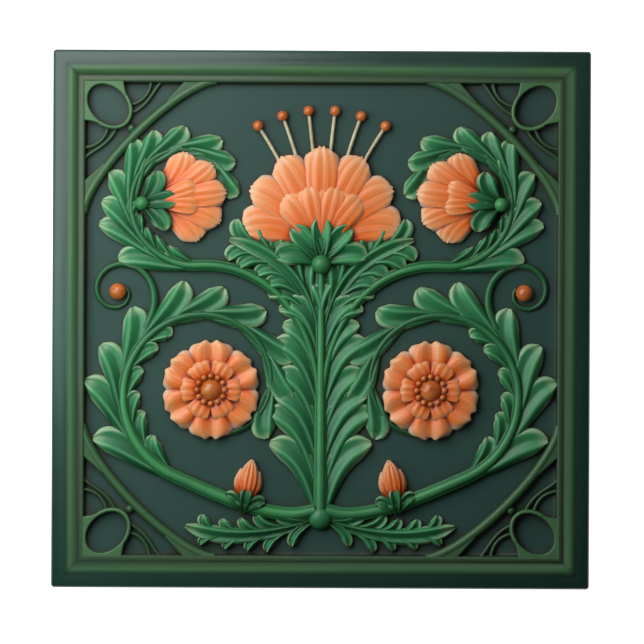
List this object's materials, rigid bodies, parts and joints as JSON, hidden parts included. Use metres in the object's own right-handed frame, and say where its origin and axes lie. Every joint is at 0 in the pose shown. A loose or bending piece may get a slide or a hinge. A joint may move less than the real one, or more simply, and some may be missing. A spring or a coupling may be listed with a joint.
{
  "type": "relief tile",
  "caption": "Square glazed relief tile with a moulded frame, open corner tracery and a raised ornament of acanthus scrolls and orange blossoms on a sunk green field.",
  "frame": {"origin": "middle of the back, on the floor that the tile lies on", "axes": "+Z out of the glazed face, +Y towards the top of the ornament, +X to the right seen from the front"},
  "size_m": [0.152, 0.152, 0.0118],
  "materials": {
    "glazed_body": "coloured gloss glazes on the face and the sides, bare biscuit on the back"
  },
  "bodies": {
    "root": {"tile": "glazed_body"}
  },
  "joints": []
}
